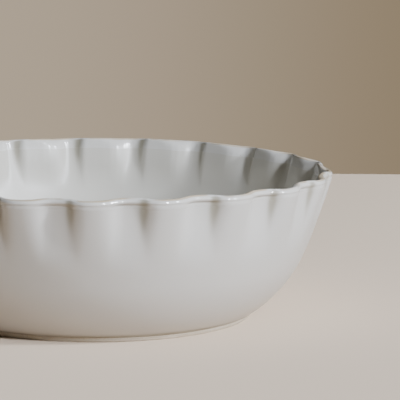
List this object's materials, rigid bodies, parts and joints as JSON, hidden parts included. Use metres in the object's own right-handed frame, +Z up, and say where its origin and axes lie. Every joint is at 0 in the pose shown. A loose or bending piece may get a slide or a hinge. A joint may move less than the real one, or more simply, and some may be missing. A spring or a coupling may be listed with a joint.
{
  "type": "serving bowl",
  "caption": "Round fluted serving bowl of glazed porcelain: flat well, curved belly, leaning fluted wall, rounded lip and a low bare foot ring.",
  "frame": {"origin": "centre of the foot ring's underside, on the surface that the bowl stands on", "axes": "+Z up along the bowl's axis, out of its mouth; -Y runs out along the first ridge of the flutes; +X to the right seen from -Y"},
  "size_m": [0.2498, 0.2492, 0.077],
  "materials": {
    "porcelain": "fired porcelain body, matt and slightly warm white, covered by glaze",
    "bare_clay": "bare fired clay, matt beige, slightly sandy",
    "lip_glaze": "glossy white glaze that breaks thin and tan along the edge",
    "outer_glaze": "smooth glossy off-white glaze",
    "inner_glaze": "smooth glossy cool white glaze"
  },
  "bodies": {
    "root": {"bowl_body": "porcelain", "foot_ring": "bare_clay", "rim_lip": "lip_glaze", "outer_glaze": "outer_glaze", "inner_glaze": "inner_glaze", "underside_glaze": "outer_glaze"}
  },
  "joints": []
}
